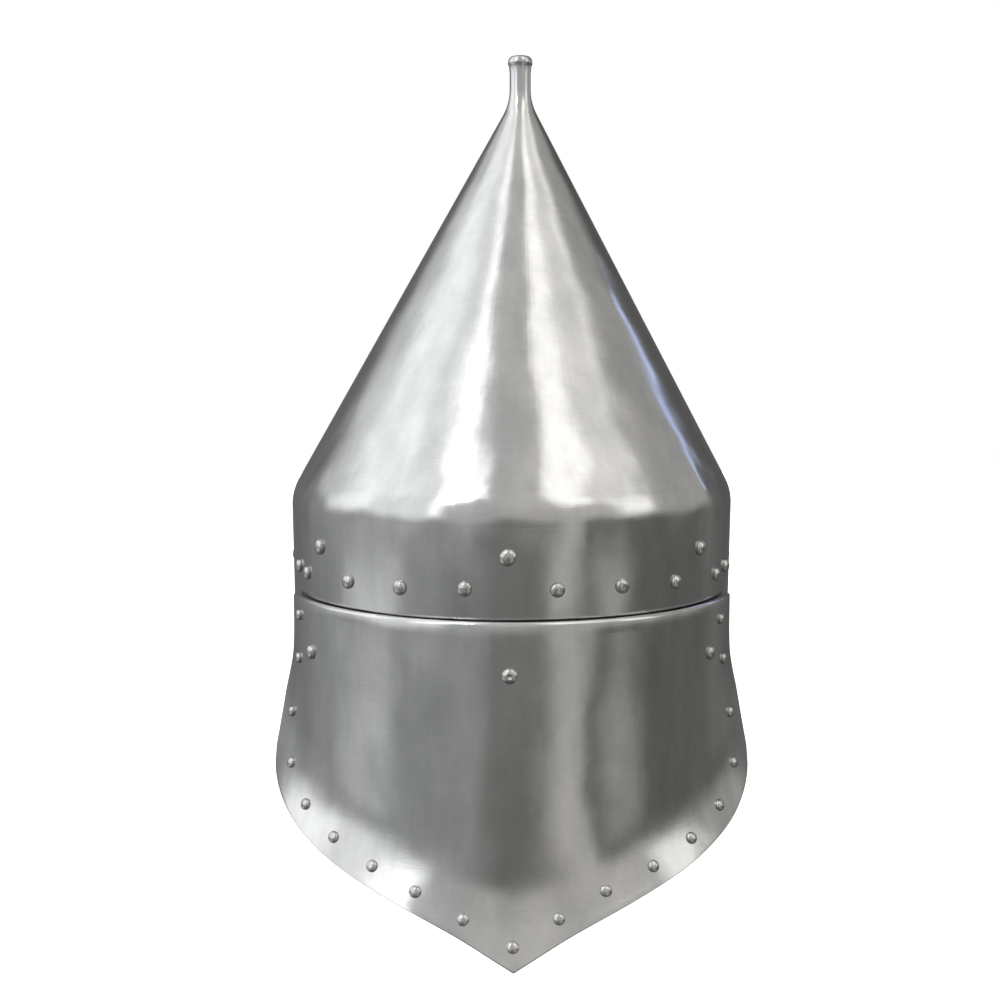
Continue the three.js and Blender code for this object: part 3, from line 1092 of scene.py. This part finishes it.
def rivet_rings(radius, rise, stack, dimpled):
    """Profile of a rivet along +Z, from its peened tail inside to the top of its domed head."""
    dome = []
    for turn in DOME_ANGLES:
        angle = math.radians(turn)
        wide = math.cos(angle) ** DOME_WIDTH_POWER
        high = math.sin(angle) ** DOME_RISE_POWER
        dome.append(Vector((radius * wide, rise * high)))
    if dimpled:
        dome = [ring for ring in dome if ring.x > DOME_KEPT * DIMPLE_RADIUS]
        for wide, high, deep in DIMPLE_PROFILE:
            dome.append(Vector((wide * DIMPLE_RADIUS, rise * high - deep * DIMPLE_DEPTH)))
    tail = []
    for turn in TAIL_ANGLES:
        angle = math.radians(turn)
        tail.append(Vector((TAIL_RADIUS * math.cos(angle), -stack - TAIL_RISE * math.sin(angle))))
    return [
        *tail,
        Vector((TAIL_RADIUS, -stack + TAIL_EDGE)),
        Vector((SHANK_RADIUS, -stack + TAIL_EDGE)),
        Vector((SHANK_RADIUS, -2 * SOLID_GAP)),
        Vector((radius * UNDERSIDE_SHARE, -2 * SOLID_GAP)),
        *dome,
    ]


def set_rivet(model, name, node, point, normal, chance, material):
    """Copies the model rivet to its place, with its own slight turn, tilt and size of handwork."""
    obj = model.copy()
    obj.data = model.data.copy()
    bpy.context.scene.collection.objects.link(obj)
    name_piece(obj, name)
    tilt = Vector((
        chance.uniform(-RIVET_LEAN, RIVET_LEAN),
        chance.uniform(-RIVET_LEAN, RIVET_LEAN),
        1,
    )).normalized()
    turned = Matrix.Rotation(chance.uniform(0, 2 * math.pi), 4, "Z")
    leaned = tilt.to_track_quat("Z", "Y").to_matrix().to_4x4()
    sized = Matrix.Diagonal((
        chance.uniform(*RIVET_WIDTHS),
        chance.uniform(*RIVET_WIDTHS),
        chance.uniform(*RIVET_HEIGHTS),
        1,
    ))
    stood = normal.to_track_quat("Z", "Y").to_matrix().to_4x4()
    obj.matrix_world = Matrix.Translation(point + normal * SOLID_GAP) @ stood @ leaned @ turned @ sized
    deselect_all()
    obj.select_set(True)
    bpy.context.view_layer.objects.active = obj
    bpy.ops.object.transform_apply(location=True, rotation=True, scale=True)
    finish_piece(obj, material, [node])


def set_rivet_row(name, node, digits, head, stack, seats, seed, dimpled=None):
    """Models one rivet, sets a copy of it at each seat and deletes the model.

    The seat whose number is given as dimpled gets a head with a punch mark.
    """
    steel = material_once(RIVET_FINISH, rivet_steel)
    radius, rise = head
    model = raise_rings("rivet_model", rivet_rings(radius, rise, stack, False), RIVET_SEGMENTS)
    smooth(model, angle=50)
    chance = random.Random(seed)
    for index, (point, normal) in enumerate(seats):
        number = str(index + 1).zfill(digits)
        pattern = model
        if index + 1 == dimpled:
            rings = rivet_rings(radius, rise, stack, True)
            pattern = raise_rings("dimpled_model", rings, RIVET_SEGMENTS)
            smooth(pattern, angle=50)
        set_rivet(pattern, f"{name}_{number}", f"{node}_{number}", point, normal, chance, steel)
        if pattern is not model:
            bpy.data.objects.remove(pattern)
    bpy.data.objects.remove(model)


def seats_on(surface, places):
    """Point and outward direction of each place, given as azimuth and height in millimetres."""
    return [(surface(a, h * MM), outward(surface, a, h * MM)) for a, h in places]


def sheet_stack():
    """Depth from under a rivet's head to its tail, through one sheet."""
    return bpy.context.scene.helmet_crown.sheet + 3 * SOLID_GAP


def strap_stack():
    """Depth from under a rivet's head to its tail, through a sheet and a strap."""
    leather = bpy.context.scene.helmet_plate.strap_thickness
    return bpy.context.scene.helmet_crown.sheet + leather + 5 * SOLID_GAP


class HELMET_OT_strap_rivets(bpy.types.Operator):
    """Rivet the straps to the crown and to the plate"""

    bl_idname = "helmet.strap_rivets"
    bl_label = "Strap rivets"

    def execute(self, context):
        heads = context.scene.helmet_rivets
        upper = seats_on(crown_point, [crown for _, crown, _ in STRAPS])
        lower = seats_on(plate_point, [plate for _, _, plate in STRAPS])
        set_rivet_row("crown_strap_dome", "crown_strap_rivet", 1, heads.crown_strap, strap_stack(),
                      upper, seed=3)
        set_rivet_row("plate_strap_dome", "plate_strap_rivet", 1, heads.plate_strap, strap_stack(),
                      lower, seed=5, dimpled=2)
        return {"FINISHED"}


class HELMET_OT_lining_rivets(bpy.types.Operator):
    """Set the row of rivets round the band that holds the lining"""

    bl_idname = "helmet.lining_rivets"
    bl_label = "Lining rivets"

    def execute(self, context):
        spacing = (360 - 2 * LINING_FRONT_FROM) / (LINING_FRONT_COUNT - 1)
        places = list(LINING_SEEN)
        for step in range(LINING_FRONT_COUNT):
            places.append((LINING_FRONT_FROM + spacing * step, LINING_HEIGHT))
        set_rivet_row("lining_dome", "lining_rivet", 2, context.scene.helmet_rivets.lining,
                      sheet_stack(), seats_on(crown_point, places), seed=7)
        return {"FINISHED"}


class HELMET_OT_margin_rivets(bpy.types.Operator):
    """Set the rivets along the nape plate's margin"""

    bl_idname = "helmet.margin_rivets"
    bl_label = "Margin rivets"

    def execute(self, context):
        set_rivet_row("margin_dome", "margin_rivet", 2, context.scene.helmet_rivets.margin,
                      sheet_stack(), seats_on(plate_point, MARGIN_RIVETS), seed=11)
        return {"FINISHED"}


# Studio


def lay_floor():
    deselect_all()
    height = bpy.context.scene.helmet_studio.floor_height
    bpy.ops.mesh.primitive_plane_add(size=FLOOR_WIDTH, location=(0, 0, height))
    floor = name_piece(bpy.context.object, "studio_floor")
    bpy.ops.object.transform_apply(location=True, rotation=True, scale=True)
    floor.visible_glossy = False
    material, tree = new_material("painted_board_matt")
    shader = add_node(tree, "ShaderNodeBsdfPrincipled",
                      {"Base Color": bpy.context.scene.helmet_finishes.floor, "Roughness": 0.9,
                       "Emission Color": (1, 1, 1, 1), "Emission Strength": FLOOR_GLOW})
    add_node(tree, "ShaderNodeOutputMaterial", {}, {"Surface": shader.outputs[0]})
    floor.data.materials.append(material)


def hang_box(tree, turn, rise, light, box):
    """Lays a soft box or a dark card over the light so far, and gives the level with it.

    turn is the azimuth of a direction and rise the sine of its elevation.
    """
    azimuth, half_width, blur, low, high, level = box
    off = add_node(tree, "ShaderNodeMath", {"operation": "SUBTRACT", 1: math.radians(azimuth)},
                   {0: turn})
    away = add_node(tree, "ShaderNodeMath", {"operation": "ABSOLUTE"}, {0: off.outputs[0]})
    sides = fade(math.radians(half_width + blur), math.radians(half_width - blur))
    foot = fade(math.sin(math.radians(low - BOX_EDGE)), math.sin(math.radians(low + BOX_EDGE)))
    head = fade(math.sin(math.radians(high + BOX_EDGE)), math.sin(math.radians(high - BOX_EDGE)))
    across = add_node(tree, "ShaderNodeMapRange", sides, {"Value": away.outputs[0]})
    above = add_node(tree, "ShaderNodeMapRange", foot, {"Value": rise})
    below = add_node(tree, "ShaderNodeMapRange", head, {"Value": rise})
    upright = add_node(tree, "ShaderNodeMath", {"operation": "MULTIPLY"},
                       {0: above.outputs[0], 1: below.outputs[0]})
    share = add_node(tree, "ShaderNodeMath", {"operation": "MULTIPLY"},
                     {0: across.outputs[0], 1: upright.outputs[0]})
    mix = add_node(tree, "ShaderNodeMix", {"data_type": "FLOAT", 3: level},
                   {0: share.outputs[0], 2: light})
    return mix.outputs[0]


def light_round_helmet():
    """Makes the world: white paper to the camera, and soft boxes and cards to everything else."""
    world = bpy.data.worlds.new("soft_studio")
    world.use_nodes = True
    tree = world.node_tree
    tree.nodes.clear()
    direction = add_node(tree, "ShaderNodeTexCoord").outputs["Generated"]
    axes = add_node(tree, "ShaderNodeSeparateXYZ", {}, {0: direction})
    back = add_node(tree, "ShaderNodeMath", {"operation": "MULTIPLY", 1: -1.0}, {0: axes.outputs["Y"]})
    turn = add_node(tree, "ShaderNodeMath", {"operation": "ARCTAN2"},
                    {0: axes.outputs["X"], 1: back.outputs[0]})
    wall = add_node(tree, "ShaderNodeMapRange",
                    {"From Min": -1.0, "From Max": 1.0, "To Min": WALL_LEVEL, "To Max": SKY_LEVEL},
                    {"Value": axes.outputs["Z"]})
    light = wall.outputs[0]
    for box in SOFT_BOXES:
        light = hang_box(tree, turn.outputs[0], axes.outputs["Z"], light, box)
    rightward = add_node(tree, "ShaderNodeMapRange", {"From Min": TINT_LEFT, "From Max": TINT_RIGHT},
                         {"Value": axes.outputs["X"]})
    tint = add_node(tree, "ShaderNodeMix", {"data_type": "RGBA", 6: COOL_LIGHT, 7: WARM_LIGHT},
                    {0: rightward.outputs[0]})
    seen = add_node(tree, "ShaderNodeLightPath").outputs["Is Camera Ray"]
    around = add_node(tree, "ShaderNodeBackground", {}, {"Color": tint.outputs[2], "Strength": light})
    paper = add_node(tree, "ShaderNodeBackground", {"Color": (1, 1, 1, 1), "Strength": 1.0})
    both = add_node(tree, "ShaderNodeMixShader", {},
                    {0: seen, 1: around.outputs[0], 2: paper.outputs[0]})
    add_node(tree, "ShaderNodeOutputWorld", {}, {0: both.outputs[0]})
    bpy.context.scene.world = world


def set_lamp(name, place, target, width, tall, colour, power):
    bpy.ops.object.light_add(type="AREA", location=place)
    lamp = bpy.context.object
    lamp.name = name
    lamp.data.shape = "RECTANGLE"
    lamp.data.size = width
    lamp.data.size_y = tall
    lamp.data.color = linear(colour)[:3]
    lamp.data.energy = power
    lamp.visible_camera = False
    lamp.rotation_euler = (Vector(target) - Vector(place)).to_track_quat("-Z", "Y").to_euler()


def set_camera():
    studio = bpy.context.scene.helmet_studio
    camera_data = bpy.data.cameras.new("camera")
    camera = bpy.data.objects.new("camera", camera_data)
    bpy.context.scene.collection.objects.link(camera)
    camera.location = (studio.camera_side, -studio.camera_distance, studio.camera_height)
    camera.rotation_euler = (math.radians(90) - studio.camera_down, 0, 0)
    camera_data.sensor_width = SENSOR_WIDTH
    camera_data.lens = studio.lens
    camera_data.clip_start = 0.01
    bpy.context.scene.camera = camera


class HELMET_OT_studio(bpy.types.Operator):
    """Set up the pale floor, the soft lights and the camera"""

    bl_idname = "helmet.studio"
    bl_label = "Studio"

    def execute(self, context):
        context.scene.view_settings.view_transform = "Standard"
        lay_floor()
        light_round_helmet()
        for lamp in LAMPS:
            set_lamp(*lamp)
        set_camera()
        return {"FINISHED"}


class HELMET_PT_panel(bpy.types.Panel):
    bl_idname = "HELMET_PT_panel"
    bl_label = "Helmet"
    bl_space_type = "VIEW_3D"
    bl_region_type = "UI"
    bl_category = "Helmet"

    def draw(self, context):
        for operator in OPERATORS:
            self.layout.operator(operator.bl_idname)
        for name in PROPERTIES:
            group = getattr(context.scene, name)
            for key in group.__annotations__:
                self.layout.prop(group, key)


PROPERTIES = {
    "helmet_crown": HelmetCrownSizes,
    "helmet_plate": HelmetPlateSizes,
    "helmet_rivets": HelmetRivetSizes,
    "helmet_finishes": HelmetFinishes,
    "helmet_studio": HelmetStudio,
}
OPERATORS = (
    HELMET_OT_studio,
    HELMET_OT_crown,
    HELMET_OT_nape_plate,
    HELMET_OT_straps,
    HELMET_OT_strap_rivets,
    HELMET_OT_lining_rivets,
    HELMET_OT_margin_rivets,
)
CLASSES = (*PROPERTIES.values(), *OPERATORS, HELMET_PT_panel)


def register():
    for each in CLASSES:
        bpy.utils.register_class(each)
    for name, group in PROPERTIES.items():
        setattr(bpy.types.Scene, name, PointerProperty(type=group))


def unregister():
    for name in PROPERTIES:
        delattr(bpy.types.Scene, name)
    for each in reversed(CLASSES):
        bpy.utils.unregister_class(each)


def main():
    register()
    bpy.ops.helmet.studio()
    bpy.ops.helmet.crown()
    bpy.ops.helmet.nape_plate()
    bpy.ops.helmet.straps()
    bpy.ops.helmet.strap_rivets()
    bpy.ops.helmet.lining_rivets()
    bpy.ops.helmet.margin_rivets()


if __name__ == "__main__":
    main()
